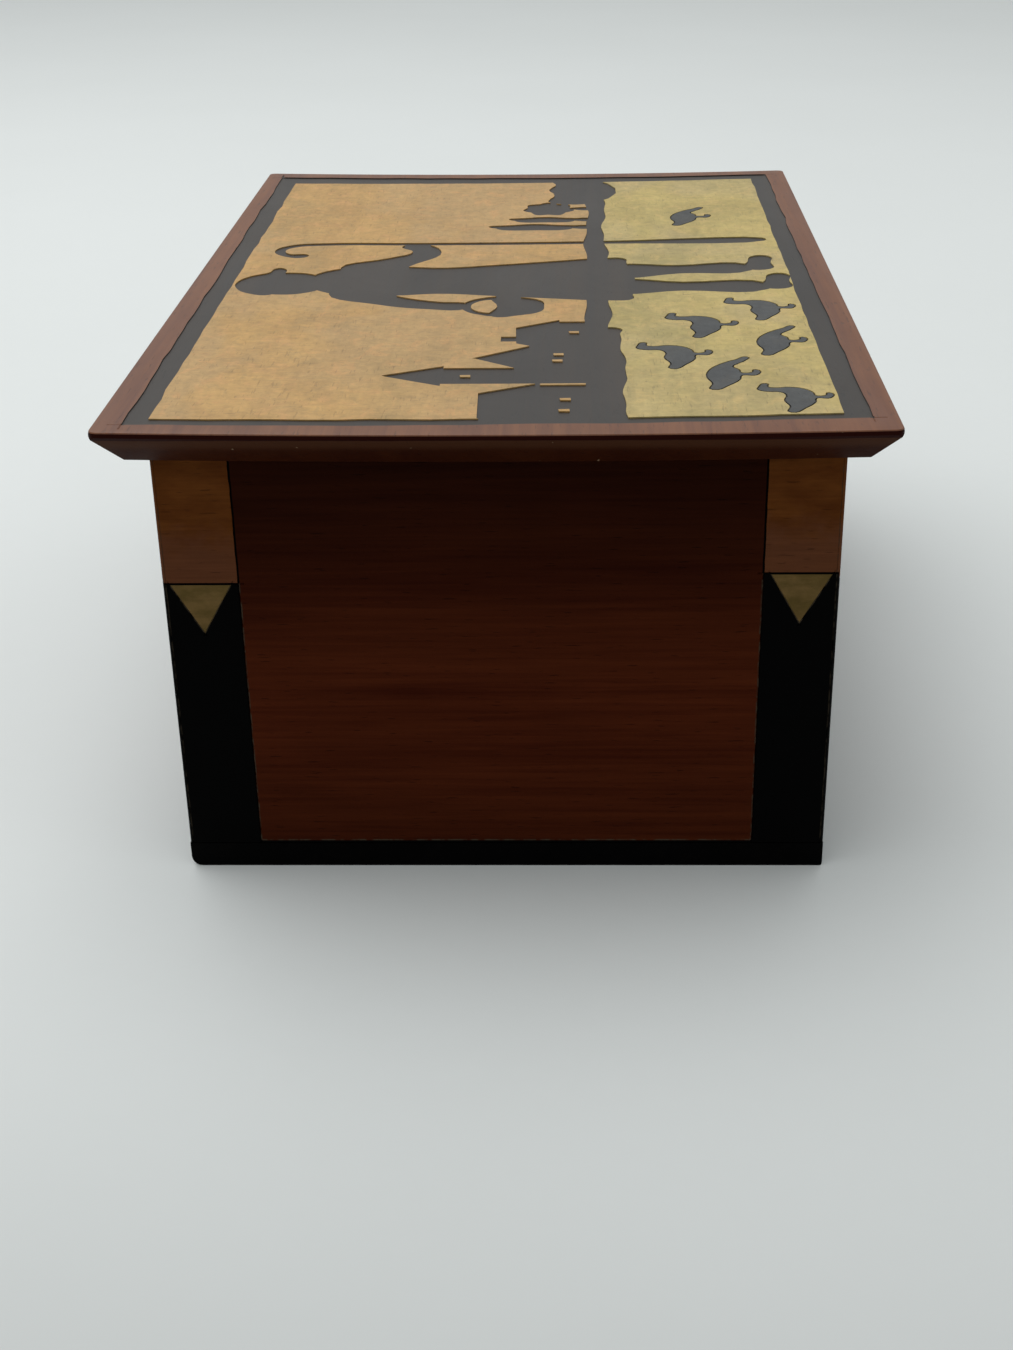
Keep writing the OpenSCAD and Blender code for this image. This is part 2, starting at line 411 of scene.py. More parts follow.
@dataclass(frozen=True)
class Stain:
    """A stained surface, mottled where the stain took unevenly and rubbed."""

    name: str
    light: Colour
    mid: Colour
    dark: Colour
    warm: Colour
    grey: Colour
    grain: Grain
    rough: float = 0.36
    patch: float = 0.55
    specular: float = 0.5
    texture: float = 0.3

    def make(self) -> bpy.types.Material:
        """Build the material."""
        graph = Graph(self.name, Specular_IOR_Level=self.specular)
        place = graph.place()
        streaks, bands, blotch, flecks = self.grain.read(graph, place)
        seed = self.grain.seed
        cloud = graph.noise(graph.stretch(place, (70.0, 38.0, 70.0), (seed, 0, 3)), 6.0, 0.62, 0.5)
        fine = graph.noise(graph.stretch(place, (620.0, 420.0, 620.0), (0, seed, 1)), 5.0, 0.7, 0.3)
        brush = graph.noise(graph.stretch(place, (190.0, 900.0, 190.0), (seed, 2, 0)), 4.0, 0.65, 1.2)
        spots = graph.noise(graph.stretch(place, (230.0, 150.0, 230.0), (seed, 5, 0)), 5.0, 0.68, 0.8)
        hue = graph.noise(graph.stretch(place, (26.0, 17.0, 26.0), (seed, 8, 2)), 3.0, 0.55, 0.6)
        colour = graph.mix(cloud.rise(0.36, 0.66), self.mid, self.light)
        colour = graph.mix(hue.rise(0.44, 0.60), colour, graph.mix(0.45, colour, self.grey))
        colour = graph.mix((blotch.rise(0.46, 0.72) * self.patch), colour, self.dark)
        colour = graph.mix(spots.rise(0.50, 0.66) * self.patch * 0.9, colour, self.warm)
        colour = graph.mix(spots.rise(0.46, 0.34) * self.patch * 0.7, colour, self.dark)
        swing = (fine - 0.5) * 1.1 + (brush - 0.5) * 0.9 + (streaks - 0.5) * 0.35 + (bands - 0.5) * 0.15
        colour = graph.tone(colour, 1.0 + swing * self.texture - flecks * 0.2)
        pores = graph.noise(graph.stretch(place, (2600.0, 900.0, 2600.0)), 1.0).rise(0.70, 0.78)
        nicks = graph.noise(graph.stretch(place, (300.0, 1300.0, 300.0), (3, 1, seed)), 2.0, 0.5, 0.8)
        nicks = nicks.rise(0.70, 0.76)
        colour = graph.tone(colour, 1.0 - pores * 0.25 - nicks * 0.35)
        rough = self.rough + blotch * 0.16 - fine * 0.10 + brush * 0.08
        height = fine * 0.5 + brush * 0.5 + streaks * 0.4 - flecks * 0.6 - pores * 0.5 - nicks * 0.9
        return graph.finish(colour, rough, height, 0.05 * MM)


@dataclass(frozen=True)
class Mahogany:
    """Red-brown stained wood with a thin worn polish."""

    name: str
    grain: Grain
    light: Colour = (0.165, 0.055, 0.018)
    deep: Colour = (0.075, 0.017, 0.006)
    specular: float = 0.5
    rough: float = 0.34

    def make(self) -> bpy.types.Material:
        """Build the material."""
        graph = Graph(self.name, Specular_IOR_Level=self.specular)
        streaks, bands, blotch, flecks = self.grain.read(graph, graph.place())
        colour = graph.mix((streaks * 0.45 + bands * 0.6).rise(0.25, 0.8), self.deep, self.light)
        colour = graph.tone(colour, 1.15 - blotch * 0.35 - flecks * 0.3)
        rough = self.rough + blotch * 0.15 + streaks * 0.06
        return graph.finish(colour, rough, streaks * 0.6 - flecks * 0.6, 0.035 * MM)


@dataclass(frozen=True)
class LidEdge:
    """The lid's bevel: stained, far darker than on the lid's top as painted shade, and paler in a band just
    under the upright edge.
    """

    name: str
    grain: Grain
    edge_z: float
    band: float = 2.1 * MM
    # Bevel and upright-edge colours: the lid's mahogany darkened as painted shade.
    pale_band: Colour = (0.052, 0.0185, 0.0075)
    light: Colour = (0.036, 0.0080, 0.0016)
    deep: Colour = (0.020, 0.0030, 0.0007)
    edge: Colour = (0.018, 0.0020, 0.0008)

    def make(self) -> bpy.types.Material:
        """Build the material."""
        graph = Graph(self.name, Specular_IOR_Level=0.05)
        place = graph.place()
        up = graph.split(place)[2]
        streaks, bands, blotch, flecks = self.grain.read(graph, place)
        below = self.edge_z - up + (blotch - 0.5) * 0.0008
        colour = graph.mix((streaks * 0.5 + bands * 0.55).rise(0.25, 0.8), self.deep, self.light)
        # Paler in a band just under the upright edge; the upright edge itself takes the darkest painted
        # shade.
        colour = graph.mix(below.rise(self.band * 1.5, self.band * 0.5) * 0.85, colour, self.pale_band)
        colour = graph.mix(below.below(0.0), colour, self.edge)
        chips = graph.noise(graph.stretch(place, (620.0, 620.0, 620.0), (4, 0, 0)), 2.0).rise(0.755, 0.775)
        colour = graph.mix(chips, graph.tone(colour, 1.1 - flecks * 0.3), (0.20, 0.13, 0.08))
        rough = 0.36 + blotch * 0.15 + streaks * 0.06
        return graph.finish(colour, rough, streaks * 0.6 - flecks * 0.6 - chips, 0.04 * MM)


@dataclass(frozen=True)
class WallLayout:
    """Where the stained fields of a wall lie, in metres."""

    along: Axis
    half: float
    post: float
    head_low: float
    head_high: float
    triangle_w: float
    triangle_h: float
    plinth: float
    top: float
    line: float = 0.15 * MM
    fine_line: float = 0.13 * MM
    arris: float = 0.75 * MM


@dataclass(frozen=True)
class WallStain:
    """A wall's finish: red field, black posts, tan heads, pale triangles."""

    name: str
    layout: WallLayout
    grain: Grain
    # The field, head, triangle and black colours are kept far darker than the stains themselves and the lid's
    # mahogany: painted shade for the dim upright faces.
    field_light: Colour = (0.079, 0.0165, 0.0048)
    field_deep: Colour = (0.034, 0.0050, 0.0014)
    head: Colour = (0.116, 0.037, 0.0075)
    head_deep: Colour = (0.078, 0.022, 0.0045)
    head_red: Colour = (0.105, 0.038, 0.018)
    triangle: Colour = (0.158, 0.098, 0.036)
    triangle_deep: Colour = (0.100, 0.066, 0.020)
    black: Colour = (0.0008, 0.0008, 0.0008)
    # Pale tan for the incised lines: raw wood where worn, and painted highlight along their edges.
    line_wear_and_highlight: Colour = (0.060, 0.047, 0.032)
    speck: Colour = (0.42, 0.38, 0.32)
    specular: float = 0.02

    def make(self) -> bpy.types.Material:
        """Build the material."""
        plan = self.layout
        graph = Graph(self.name, Specular_IOR_Level=self.specular)
        place = graph.place()
        parts = graph.split(place)
        run, up = parts[plan.along.value], parts[2]
        streaks, bands, blotch, flecks = self.grain.read(graph, place)
        wander = graph.noise(graph.stretch(place, (260.0, 260.0, 260.0)), 3.0) - 0.5
        wear = graph.noise(graph.stretch(place, (520.0, 520.0, 520.0)), 3.0, 0.6)
        from_end = plan.half - abs(run) + wander * 0.0004
        level = plan.head_low + (plan.head_high - plan.head_low) * run.above(0.0)
        post = from_end.below(plan.post)
        high = up.above(level)
        drop = level - up
        slope = plan.triangle_w / 2 / plan.triangle_h
        half_width = (plan.triangle_h - drop) * slope
        off_middle = abs(from_end - plan.post / 2)
        inside = off_middle.below(half_width) * drop.above(0.0)

        figure = (streaks * 0.5 + bands * 0.55).rise(0.25, 0.82)
        stained = graph.mix(figure, self.field_deep, self.field_light)
        # Painted shade: the field is darkened under the lid's overhang, most at its top and fading over the
        # upper 56 mm; it is also darker towards its foot, just above the plinth.
        painted_shade_and_foot_dark = 0.30 + (plan.top - up).rise(0.0, 0.056) * 0.72
        painted_shade_and_foot_dark = painted_shade_and_foot_dark * (0.74 + up.rise(0.006, 0.036) * 0.26)
        stained = graph.tone(stained, (1.26 - blotch * 0.46 - flecks * 0.4) * painted_shade_and_foot_dark)
        mottle = graph.noise(graph.stretch(place, self.grain.scale(240.0, 90.0)), 5.0, 0.6)
        lines = graph.noise(graph.stretch(place, self.grain.scale(1500.0, 60.0)), 3.0, 0.6)
        tan = graph.mix(mottle.rise(0.3, 0.72), self.head_deep, self.head)
        tan = graph.mix((0.014 - (up - level) + wander * 0.012).rise(0.0, 0.009) * 0.8, tan, self.head_red)
        tan = graph.tone(tan, 0.72 + lines * 0.56 - flecks * 0.3)
        pale = graph.mix(mottle.rise(0.35, 0.65), self.triangle_deep, self.triangle)
        pale = graph.tone(pale, 0.80 + wear * 0.42 - (lines - 0.5) * 0.2)
        ebony = graph.tone(graph.mix(0.0, self.black, self.black), 0.8 + blotch * 0.5)

        colour = graph.mix(post, stained, ebony)
        colour = graph.mix(post * high, colour, tan)
        colour = graph.mix(post * inside, colour, pale)
        low_band = up.below(plan.plinth)
        colour = graph.mix(low_band, colour, ebony)
        # The incised lines are painted pale tan: raw wood showing where the finish is worn, and painted
        # highlight where their edges catch the light.
        cut = abs(from_end - plan.post - plan.line).below(plan.line) * high.below(0.5)
        cut = cut + abs(from_end - plan.arris).below(plan.fine_line) * 0.6
        rim = abs(up - plan.plinth - plan.line).below(plan.line) * from_end.above(plan.post)
        cut = (cut * up.above(plan.plinth)).most(rim)
        side_line = abs(off_middle - half_width).below(plan.fine_line) * drop.above(0.0)
        cut = cut.most(side_line * drop.below(plan.triangle_h * 1.08))
        colour = graph.mix(cut * wear.rise(0.38, 0.62) * 0.8, colour, self.line_wear_and_highlight)
        # Painted shadow: black lines in the grooves under the tan heads and between the heads and the field.
        gap_shadow = abs(drop).below(plan.line * 1.6) * post
        gap_shadow = gap_shadow.most(abs(from_end - plan.post).below(plan.line * 1.3) * high)
        colour = graph.mix(gap_shadow, colour, self.black)
        cell = graph.node(
            "ShaderNodeTexVoronoi", {}, {"Vector": place, "Scale": 34.0, "Randomness": 1.0}, "Distance"
        )
        colour = graph.mix(cell.below(0.011) * wear.above(0.47), colour, self.speck)
        rough = 0.42 + blotch * 0.14 + streaks * 0.06
        return graph.finish(colour, rough, streaks * 0.6 - flecks * 0.8, 0.04 * MM)


@dataclass(frozen=True)
class Paper:
    """The pale seamless floor, with painted shade that dims it where the viewer stands."""

    name: str
    shade_start: float = -0.10
    shade_end: float = -0.38

    def make(self) -> bpy.types.Material:
        """Build the material."""
        graph = Graph(self.name, Specular_IOR_Level=0.2)
        place = graph.place()
        cloud = graph.noise(graph.stretch(place, (5.0, 5.0, 5.0)), 3.0)
        fine = graph.noise(graph.stretch(place, (160.0, 160.0, 160.0)), 3.0)
        colour = graph.mix(cloud * 0.6 + fine * 0.2, (0.70, 0.725, 0.715), (0.76, 0.785, 0.78))
        # Painted shade: the floor darkens towards the viewer, down to 0.62 of its tone.
        near = graph.split(place)[1].rise(self.shade_end, self.shade_start)
        colour = graph.tone(colour, 0.62 + near * 0.38)
        return graph.finish(colour, 0.55 + fine * 0.1, fine, 0.02 * MM)


# --------------------------------------------------------------------------
# Bench: mesh work with Blender's own operators


class Bench:
    """Mesh operations on one object at a time."""

    @staticmethod
    def only(piece: bpy.types.Object) -> None:
        """Make a piece the only selected and the active object."""
        if bpy.context.object and bpy.context.object.mode != "OBJECT":
            bpy.ops.object.mode_set(mode="OBJECT")
        bpy.ops.object.select_all(action="DESELECT")
        piece.select_set(True)
        bpy.context.view_layer.objects.active = piece

    @classmethod
    def settle(cls, piece: bpy.types.Object, name: str) -> bpy.types.Object:
        """Move a piece's place into its mesh and name it.

        Args:
            piece: the object.
            name: its name, and its mesh's.

        Returns:
            The same object.
        """
        cls.only(piece)
        bpy.ops.object.transform_apply(location=True, rotation=True, scale=True)
        piece.name = name
        piece.data.name = name
        return piece

    @classmethod
    def copy_node(cls, node: str, name: str) -> bpy.types.Object:
        """Copy a CAD node's mesh into a new piece and weld it.

        Args:
            node: the CAD node.
            name: the new piece's name.

        Returns:
            The new piece.
        """
        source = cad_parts[node]
        piece = bpy.data.objects.new(name, source.data.copy())
        bpy.context.scene.collection.objects.link(piece)
        piece.data.materials.clear()
        cls.only(piece)
        bpy.ops.object.mode_set(mode="EDIT")
        bpy.ops.mesh.select_all(action="SELECT")
        bpy.ops.mesh.customdata_custom_splitnormals_clear()
        bpy.ops.mesh.remove_doubles(threshold=0.002 * MM)
        bpy.ops.mesh.dissolve_limited(angle_limit=math.radians(0.5))
        bpy.ops.object.mode_set(mode="OBJECT")
        return piece

    @classmethod
    def block(cls, low: Sequence[float], high: Sequence[float], name: str = "block") -> bpy.types.Object:
        """A box between two corners.

        Args:
            low: the lowest corner.
            high: the highest corner.
            name: the object's name.

        Returns:
            The box.
        """
        bpy.ops.object.select_all(action="DESELECT")
        centre = [(a + b) / 2 for a, b in zip(low, high)]
        bpy.ops.mesh.primitive_cube_add(size=1.0, location=centre)
        piece = bpy.context.object
        piece.scale = [b - a for a, b in zip(low, high)]
        return cls.settle(piece, name)

    @classmethod
    def bar(cls, start: Sequence[float], end: Sequence[float], radius: float) -> bpy.types.Object:
        """A four-sided bar between two points, for cutting an incised line.

        Args:
            start: one end.
            end: the other end.
            radius: its half diagonal.

        Returns:
            The bar.
        """
        line = Vector(end) - Vector(start)
        bpy.ops.object.select_all(action="DESELECT")
        bpy.ops.mesh.primitive_cylinder_add(
            vertices=4,
            radius=radius,
            depth=line.length,
            location=(Vector(start) + Vector(end)) / 2,
            rotation=line.to_track_quat("Z", "Y").to_euler(),
        )
        return cls.settle(bpy.context.object, "bar")

    @classmethod
    def bevel(
        cls,
        piece: bpy.types.Object,
        width: float,
        segments: int,
        wanted: Callable[[Vector, Vector], bool],
    ) -> None:
        """Round the sharp edges that are wanted.

        Args:
            piece: the object.
            width: how far the rounding reaches from the edge.
            segments: how many steps it has.
            wanted: says from an edge's middle and direction whether it counts.
        """
        cls.only(piece)
        bpy.ops.object.mode_set(mode="EDIT")
        bpy.ops.mesh.select_all(action="DESELECT")
        shape = bmesh.from_edit_mesh(piece.data)
        for edge in shape.edges:
            if len(edge.link_faces) != 2 or edge.calc_face_angle(0.0) < math.radians(25):
                continue
            first, second = (v.co for v in edge.verts)
            if wanted((first + second) / 2, (second - first).normalized()):
                edge.select_set(True)
        shape.select_flush_mode()
        bmesh.update_edit_mesh(piece.data)
        bpy.ops.mesh.bevel(offset=width, segments=segments, affect="EDGES", clamp_overlap=True)
        bpy.ops.object.mode_set(mode="OBJECT")

    @classmethod
    def combine(cls, piece: bpy.types.Object, tool: bpy.types.Object, how: str) -> None:
        """Cut with, join to, or keep only what lies in another solid.

        Args:
            piece: the object that stays.
            tool: the other solid, which is used up.
            how: DIFFERENCE, UNION or INTERSECT.
        """
        cls.only(piece)
        change = piece.modifiers.new("combine", "BOOLEAN")
        change.operation = how
        change.solver = "EXACT"
        change.object = tool
        bpy.ops.object.modifier_apply(modifier=change.name)
        bpy.data.objects.remove(tool)

    @classmethod
    def slice(cls, piece: bpy.types.Object, places: Iterable[float], axis: Axis) -> None:
        """Cut a mesh along planes square to an axis, without parting it.

        Args:
            piece: the object.
            places: where the planes lie along the axis.
            axis: the axis.
        """
        normal = [0.0, 0.0, 0.0]
        normal[axis.value] = 1.0
        cls.only(piece)
        bpy.ops.object.mode_set(mode="EDIT")
        for place in places:
            point = [0.0, 0.0, 0.0]
            point[axis.value] = place
            bpy.ops.mesh.select_all(action="SELECT")
            bpy.ops.mesh.bisect(plane_co=point, plane_no=normal)
        bpy.ops.object.mode_set(mode="OBJECT")

    @classmethod
    def smooth(cls, piece: bpy.types.Object, degrees: float = 30.0) -> None:
        """Clean a finished mesh and shade it smooth but for its sharp edges."""
        piece.data.validate()
        cls.only(piece)
        bpy.ops.object.shade_smooth_by_angle(angle=math.radians(degrees))

    @classmethod
    def prism(
        cls,
        loops: Sequence["Outline"],
        low: float,
        high: float,
        name: str,
        grow: float = 0.0,
    ) -> bpy.types.Object:
        """A flat plate of an outline.

        Args:
            loops: the outlines, each filled.
            low: the height of its underside.
            high: the height of its top.
            name: the object's name.
            grow: how far the outline is pushed out.

        Returns:
            The plate as a closed mesh.
        """
        curve = bpy.data.curves.new(name, "CURVE")
        curve.dimensions = "2D"
        curve.fill_mode = "BOTH"
        curve.extrude = (high - low) / 2
        curve.offset = grow
        for loop in loops:
            loop.draw(curve)
        piece = bpy.data.objects.new(name, curve)
        bpy.context.scene.collection.objects.link(piece)
        cls.only(piece)
        bpy.ops.object.convert(target="MESH")
        piece = bpy.context.object
        piece.location = (0.0, 0.0, (high + low) / 2)
        cls.settle(piece, name)
        bpy.ops.object.mode_set(mode="EDIT")
        bpy.ops.mesh.select_all(action="SELECT")
        bpy.ops.mesh.remove_doubles(threshold=0.002 * MM)
        bpy.ops.mesh.dissolve_limited(angle_limit=math.radians(0.5))
        bpy.ops.mesh.normals_make_consistent(inside=False)
        bpy.ops.object.mode_set(mode="OBJECT")
        return piece


@dataclass
class Outline:
    """A closed outline in the lid's picture, in millimetres.

    The picture is seen from the front of the box: u runs from its left edge
    to the right, and v upwards from its middle.
    """

    points: list[Point2]
    smooth: bool = True
    steps: int = 5

    def draw(self, curve: bpy.types.Curve) -> None:
        """Add this outline to a flat curve, in the row frame."""
        half_length = (CAD_BOX[1][1] - CAD_BOX[0][1]) / 2
        curve.resolution_u = self.steps
        spline = curve.splines.new("BEZIER" if self.smooth else "POLY")
        places = [(-v * MM, u * MM - half_length, 0.0) for u, v in self.points]
        if self.smooth:
            spline.bezier_points.add(len(places) - 1)
            for knot, place in zip(spline.bezier_points, places):
                knot.co = place
                knot.handle_left_type = knot.handle_right_type = "AUTO"
        else:
            spline.points.add(len(places) - 1)
            for knot, place in zip(spline.points, places):
                knot.co = (*place, 1.0)
        spline.use_cyclic_u = True

    def moved(self, right: float, up: float, size: float = 1.0, tilt: float = 0.0) -> "Outline":
        """A copy that is turned, scaled and moved.

        Args:
            right: the move along u.
            up: the move along v.
            size: the scale.
            tilt: the turn, in degrees.

        Returns:
            The copy.
        """
        c, s = math.cos(math.radians(tilt)) * size, math.sin(math.radians(tilt)) * size
        return Outline(
            [(right + u * c - v * s, up + u * s + v * c) for u, v in self.points],
            self.smooth,
            self.steps,
        )


def ribbon(centre: Sequence[Point2], widths: Sequence[float]) -> Outline:
    """A strip of varying width along a line.

    Args:
        centre: the points of its middle line.
        widths: its width at each point.

    Returns:
        Its outline.
    """
    left: list[Point2] = []
    right: list[Point2] = []
    for i, (point, width) in enumerate(zip(centre, widths)):
        before = Vector(centre[max(i - 1, 0)])
        after = Vector(centre[min(i + 1, len(centre) - 1)])
        side = (after - before).normalized().orthogonal() * (width / 2)
        left.append((point[0] + side.x, point[1] + side.y))
        right.append((point[0] - side.x, point[1] - side.y))
    return Outline(left + right[::-1])


def wavy(corners: Sequence[Point2], step: float, sway: float, seed: int) -> Outline:
    """A straight-sided outline drawn by an unsteady hand.

    Args:
        corners: its corners.
        step: the distance between the points along its sides.
        sway: how far they wander.
        seed: the seed of the wandering.

    Returns:
        The outline.
    """
    draw = random.Random(seed)
    points: list[Point2] = []
    for here, there in zip(corners, list(corners[1:]) + [corners[0]]):
        count = max(1, round(math.dist(here, there) / step))
        points.append(here)
        for k in range(1, count):
            share = k / count
            points.append(
                (
                    here[0] + (there[0] - here[0]) * share + draw.uniform(-sway, sway),
                    here[1] + (there[1] - here[1]) * share + draw.uniform(-sway, sway),
                )
            )
    return Outline(points, smooth=False)


def rolling(start: float, end: float, level: float, height: float, turns: float) -> list[Point2]:
    """The points of a rolling line, two waves laid one on the other.

    Args:
        start: where it starts along u.
        end: where it ends.
        level: its middle height.
        height: the height of the longer wave.
        turns: how many longer waves it has.

    Returns:
        The points.
    """
    count = max(4, round(abs(end - start) / 4.0))
    points = []
    for k in range(count + 1):
        turn = math.tau * turns * k / count
        lift = math.sin(turn) + 0.6 * math.sin(2.7 * turn + 1.0)
        points.append((start + (end - start) * k / count, level + height * lift))
    return points


def tree(u: float, foot: float, middle: float, wide: float, tall: float, lobes: int) -> list[Outline]:
    """A tree with a lobed crown.

    Args:
        u: where it stands.
        foot: the height of its foot.
        middle: the height of its crown's middle.
        wide: half the crown's width.
        tall: half the crown's height.
        lobes: how many lobes the crown has.

    Returns:
        Its crown and its trunk.
    """
    crown = []
    for k in range(4 * lobes):
        turn = math.tau * k / (4 * lobes)
        reach = 1 + 0.09 * math.cos(lobes * turn)
        crown.append((u + wide * reach * math.cos(turn), middle + tall * reach * math.sin(turn)))
    return [Outline(crown), ribbon([(u, foot), (u + 0.4, (foot + middle) / 2), (u, middle)], [2.4, 1.6, 1.6])]


@dataclass(frozen=True)
class House:
    """A plain building of the hamlet, in millimetres of the picture."""

    left: float
    right: float
    eaves: float
    ridge: float
    inset: float
    overhang: float = 1.1
    foot: float = -19.5

    def outline(self) -> Outline:
        """Its walls and its hipped or pointed roof."""
        left, right = self.left, self.right
        return Outline(
            [
                (left, self.foot), (left, self.eaves), (left - self.overhang, self.eaves),
                (left + self.inset, self.ridge), (right - self.inset, self.ridge + 0.4),
                (right + self.overhang, self.eaves), (right, self.eaves), (right, self.foot),
            ],
            smooth=False,
        )

    def eaves_line(self) -> list[Point2]:
        """The incised line under its roof."""
        inner = 0.5
        middle = (self.left + self.right) / 2
        return [
            (self.left + inner, self.eaves + inner),
            (middle, self.eaves + inner / 2),
            (self.right - inner, self.eaves + inner),
        ]


@dataclass
class Picture:
    """The landscape on the lid: a herder and geese before a hamlet."""

    edge: list[Point2] = field(
        default_factory=lambda: [(7.4, -71.0), (4.9, 70.5), (228.6, 71.6), (228.9, -70.4)]
    )
    window: list[Point2] = field(
        default_factory=lambda: [(10.2, -66.2), (8.3, 66.4), (220.6, 66.9), (223.4, -66.0)]
    )
    horizon: float = -20.0
    hand_step: float = 7.0
    hand_sway: float = 0.30
    window_step: float = 6.0
    window_sway: float = 0.24
    houses: list[House] = field(
        default_factory=lambda: [
            House(5.0, 30.0, -7.5, 3.5, 5.0),
            House(31.5, 41.5, 12.5, 23.5, 4.8),
            House(40.5, 56.5, -6.0, 5.6, 7.9),
            House(55.0, 75.5, -11.0, -2.6, 4.4),
        ]
    )

    def border(self) -> Outline:
        """The picture's outer edge."""
        return wavy(self.edge, self.hand_step, self.hand_sway, 11)

    def opening(self) -> Outline:
        """The inner edge of the dark frame round the picture."""
        return wavy(self.window, self.window_step, self.window_sway, 12)

    def ground(self) -> list[Outline]:
        """The dark line of the horizon and a low field wall before the hamlet."""
        line = rolling(5.0, 226.0, -17.9, 0.5, 3.5) + rolling(226.0, 5.0, -22.0, 0.55, 4.3)
        wall = rolling(5.0, 70.0, -20.5, 0.2, 2.0) + rolling(70.0, 5.0, -24.6, 0.45, 1.7)
        return [Outline(line), Outline(wall)]

    def village(self) -> list[Outline]:
        """A barn, a bell tower and two cottages, one dark shape against the sky."""
        chimney = Outline([(61.0, -6.0), (61.0, 0.8), (64.0, 0.8), (64.0, -6.0)], smooth=False)
        return [house.outline() for house in self.houses] + [chimney]

    def trees(self) -> list[Outline]:
        """Two poplars, an orchard tree and a clipped hedge at the right."""
        hedge = Outline(rolling(196.0, 226.0, -8.4, 0.8, 2.2) + [(226.0, -19.5), (195.0, -19.5)])
        foot = self.horizon + 1
        return (
            tree(166.0, foot, -4.0, 3.3, 11.4, 5)
            + tree(174.6, foot, -6.6, 2.9, 9.0, 5)
            + tree(187.6, foot, -7.4, 7.2, 6.2, 7)
            + [hedge]
        )

    def herder(self) -> list[Outline]:
        """A plain standing figure in a cap and a long cloak, with a basket and a crook."""
        head = Outline(
            [
                (108.5 + 9.8 * math.cos(math.radians(a)), 53.6 + 9.4 * math.sin(math.radians(a)))
                for a in range(0, 360, 36)
            ]
        )
        cap = Outline(
            [
                (98.4, 56.4), (99.6, 61.4), (104.0, 64.6), (109.4, 65.2), (114.8, 62.8), (118.4, 59.0),
                (122.6, 57.4), (121.8, 56.0), (116.0, 56.0), (106.0, 55.6),
            ]
        )
        profile = [
            (3.8, 40.0), (9.6, 36.4), (12.8, 29.5), (13.2, 20.0), (11.8, 9.0), (14.2, -4.0), (17.2, -18.0),
            (19.6, -31.0), (19.0, -35.0),
        ]
        hem = [(x, -36.4 - 1.0 * math.cos(0.7 * x)) for x in range(14, -15, -4)]
        cloak = Outline(profile + hem + [(-x, y) for x, y in profile[::-1]]).moved(112.0, 8.0, 1.0, 1.5)
        near_arm = ribbon([(120.0, 38.5), (130.5, 28.0), (139.5, 22.5), (146.4, 27.0)], [10.5, 8.6, 6.6, 4.6])
        far_arm = ribbon([(103.0, 39.0), (94.0, 28.5), (89.6, 17.5), (88.8, 10.0)], [10.0, 7.8, 6.0, 4.2])
        crook = ribbon(
            [
                (149.4, -62.6), (148.8, -20.0), (147.8, 27.0), (147.0, 50.0), (144.9, 56.8), (140.2, 59.6),
                (135.6, 57.2), (135.0, 52.8),
            ],
            [2.8, 2.2, 2.0, 2.0, 2.0, 2.0, 2.2, 2.8],
        )
        handle = ribbon(
            [
                (88.8 - 7.0 * math.cos(math.radians(a)), 2.6 + 7.4 * math.sin(math.radians(a)))
                for a in range(0, 181, 30)
            ],
            [1.5] * 7,
        )
        basket = Outline(
            [
                (80.4, 3.4), (88.8, 2.6), (97.2, 3.4), (96.2, -2.0), (93.4, -6.6), (88.8, -7.4),
                (84.2, -6.6), (81.4, -2.0),
            ]
        )
        legs = []
        for hip, knee, heel, floor in ((105.4, 104.8, 103.8, -61.6), (119.4, 120.6, 121.4, -58.8)):
            legs.append(ribbon([(hip, -23.0), (knee, -40.0), (heel, floor + 2)], [9.6, 7.4, 5.6]))
            boot = [(heel - 1.4, floor), (heel + 4.8, floor - 0.9), (heel + 10.8, floor - 1.9)]
            legs.append(ribbon(boot, [5.8, 5.0, 3.0]))
        return [head, cap, cloak, near_arm, far_arm, crook, handle, basket, *legs]

    def geese(self) -> list[Outline]:
        """Seven geese: two outlines, one alert and one grazing."""
        alert = Outline(
            [
                (-10.4, 2.6), (-6.4, 2.4), (-2.2, 3.4), (1.8, 2.8), (4.0, 4.0), (4.6, 7.4), (5.8, 9.0),
                (7.6, 8.8), (10.2, 7.2), (7.6, 6.9), (6.9, 5.2), (7.3, 2.0), (6.2, -1.0), (3.4, -3.0),
                (1.0, -3.6), (1.2, -6.0), (3.0, -6.7), (-0.6, -6.6), (-0.6, -3.7), (-3.6, -3.0), (-7.2, -0.8),
            ]
        )
        grazing = Outline(
            [
                (-10.2, 3.2), (-6.2, 2.9), (-1.8, 3.8), (2.6, 3.2), (6.0, 1.4), (8.8, -1.2), (10.2, -3.0),
                (12.0, -5.4), (9.4, -4.6), (7.4, -3.0), (5.4, -1.8), (3.0, -3.0), (0.8, -3.4), (1.0, -5.8),
                (2.8, -6.5), (-0.8, -6.4), (-0.8, -3.5), (-3.8, -2.6), (-7.4, -0.2),
            ]
        )
        places = [
            (alert, 50.0, -36.6, 0.92, 3), (grazing, 36.0, -45.2, 0.96, 0), (alert, 20.4, -58.6, 0.86, -2),
            (grazing, 58.4, -57.2, 0.95, 1), (alert, 72.0, -43.4, 0.94, -1), (alert, 84.6, -57.4, 0.92, 2),
            (grazing, 176.0, -44.0, 0.94, 0),
        ]
        return [goose.moved(*place) for goose, *place in places]

